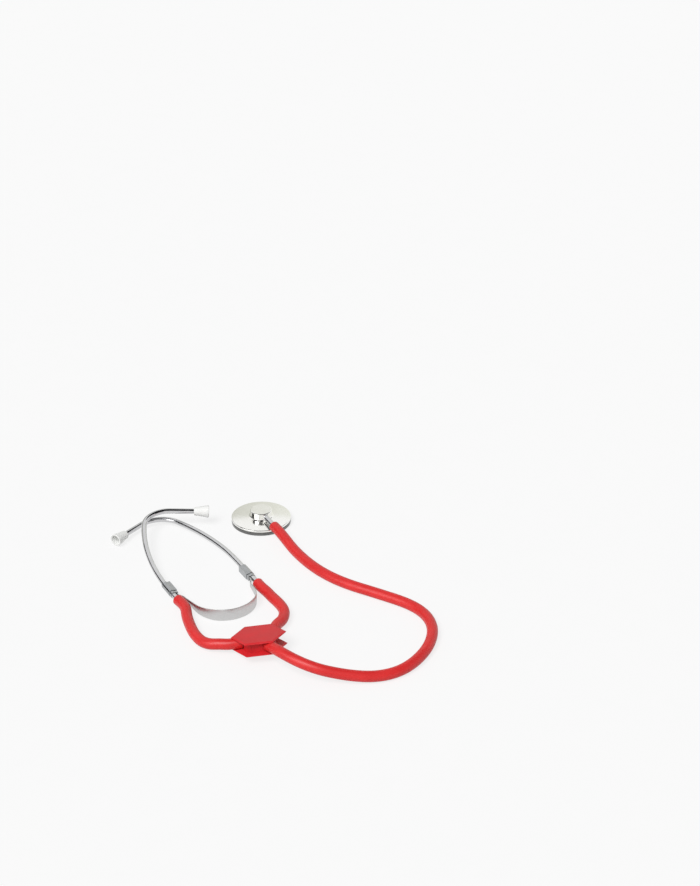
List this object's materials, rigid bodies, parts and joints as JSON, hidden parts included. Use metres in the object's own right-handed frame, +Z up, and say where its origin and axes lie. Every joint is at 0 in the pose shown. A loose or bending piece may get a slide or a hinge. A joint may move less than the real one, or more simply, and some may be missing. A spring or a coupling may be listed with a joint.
{
  "type": "toy stethoscope",
  "caption": "Toy stethoscope: domed metal chest piece on a red hose, hexagonal hose connector, hooked ear tubes sprung together by a leaf spring, and soft ear cups.",
  "frame": {"origin": "centre of the chest piece's contact face, on the surface that the stethoscope lies on", "axes": "+Z up from that surface; +Y along the headset, from the spring toward the ear cups; +X to the wearer's right ear tube, from the headset toward the long hose"},
  "size_m": [0.1846, 0.3098, 0.0201],
  "materials": {
    "chest_metal": "turned and polished",
    "diaphragm": "smooth, slightly translucent",
    "tube_chrome": "polished plating",
    "spring_steel": "satin strip",
    "hose": "glossy soft vinyl",
    "connector": "moulded, semi-gloss",
    "ear_tip": "soft, translucent white"
  },
  "bodies": {
    "trunk": {"chestpiece_body": "chest_metal", "diaphragm": "diaphragm", "diaphragm_ring": "chest_metal", "chestpiece_stem": "tube_chrome", "chest_hose": "hose", "left_hose": "hose", "right_hose": "hose", "connector_hub": "connector", "connector_top_plate": "connector", "connector_bottom_plate": "connector", "leaf_spring": "spring_steel"},
    "left_ear": {"left_ear_tube": "tube_chrome", "left_spring_clip": "tube_chrome"},
    "right_ear": {"right_ear_tube": "tube_chrome", "right_spring_clip": "tube_chrome"},
    "left_tip": {"left_ear_tip": "ear_tip"},
    "right_tip": {"right_ear_tip": "ear_tip"}
  },
  "joints": [
    {"name": "left_ear_swing", "type": "hinge", "parent": "trunk", "child": "left_ear", "pos_m": [-0.11, -0.114, 0.0055], "axis": [0, 0, 1], "range_deg": [-4, 42], "stiffness_Nm_per_rad": 0.3, "deforming": ["leaf_spring", "left_hose"]},
    {"name": "right_ear_swing", "type": "hinge", "parent": "trunk", "child": "right_ear", "pos_m": [-0.062, -0.114, 0.0055], "axis": [0, 0, -1], "range_deg": [-4, 14], "stiffness_Nm_per_rad": 0.3, "deforming": ["leaf_spring", "right_hose"]},
    {"name": "left_tip_turn", "type": "hinge", "parent": "left_ear", "child": "left_tip", "pos_m": [-0.05069, 0.01888, 0.01397], "axis": [0.9026, -0.4284, -0.0428], "continuous": true},
    {"name": "right_tip_turn", "type": "hinge", "parent": "right_ear", "child": "right_tip", "pos_m": [-0.12131, 0.02429, 0.0055], "axis": [-0.9026, -0.4305, 0], "continuous": true}
  ]
}
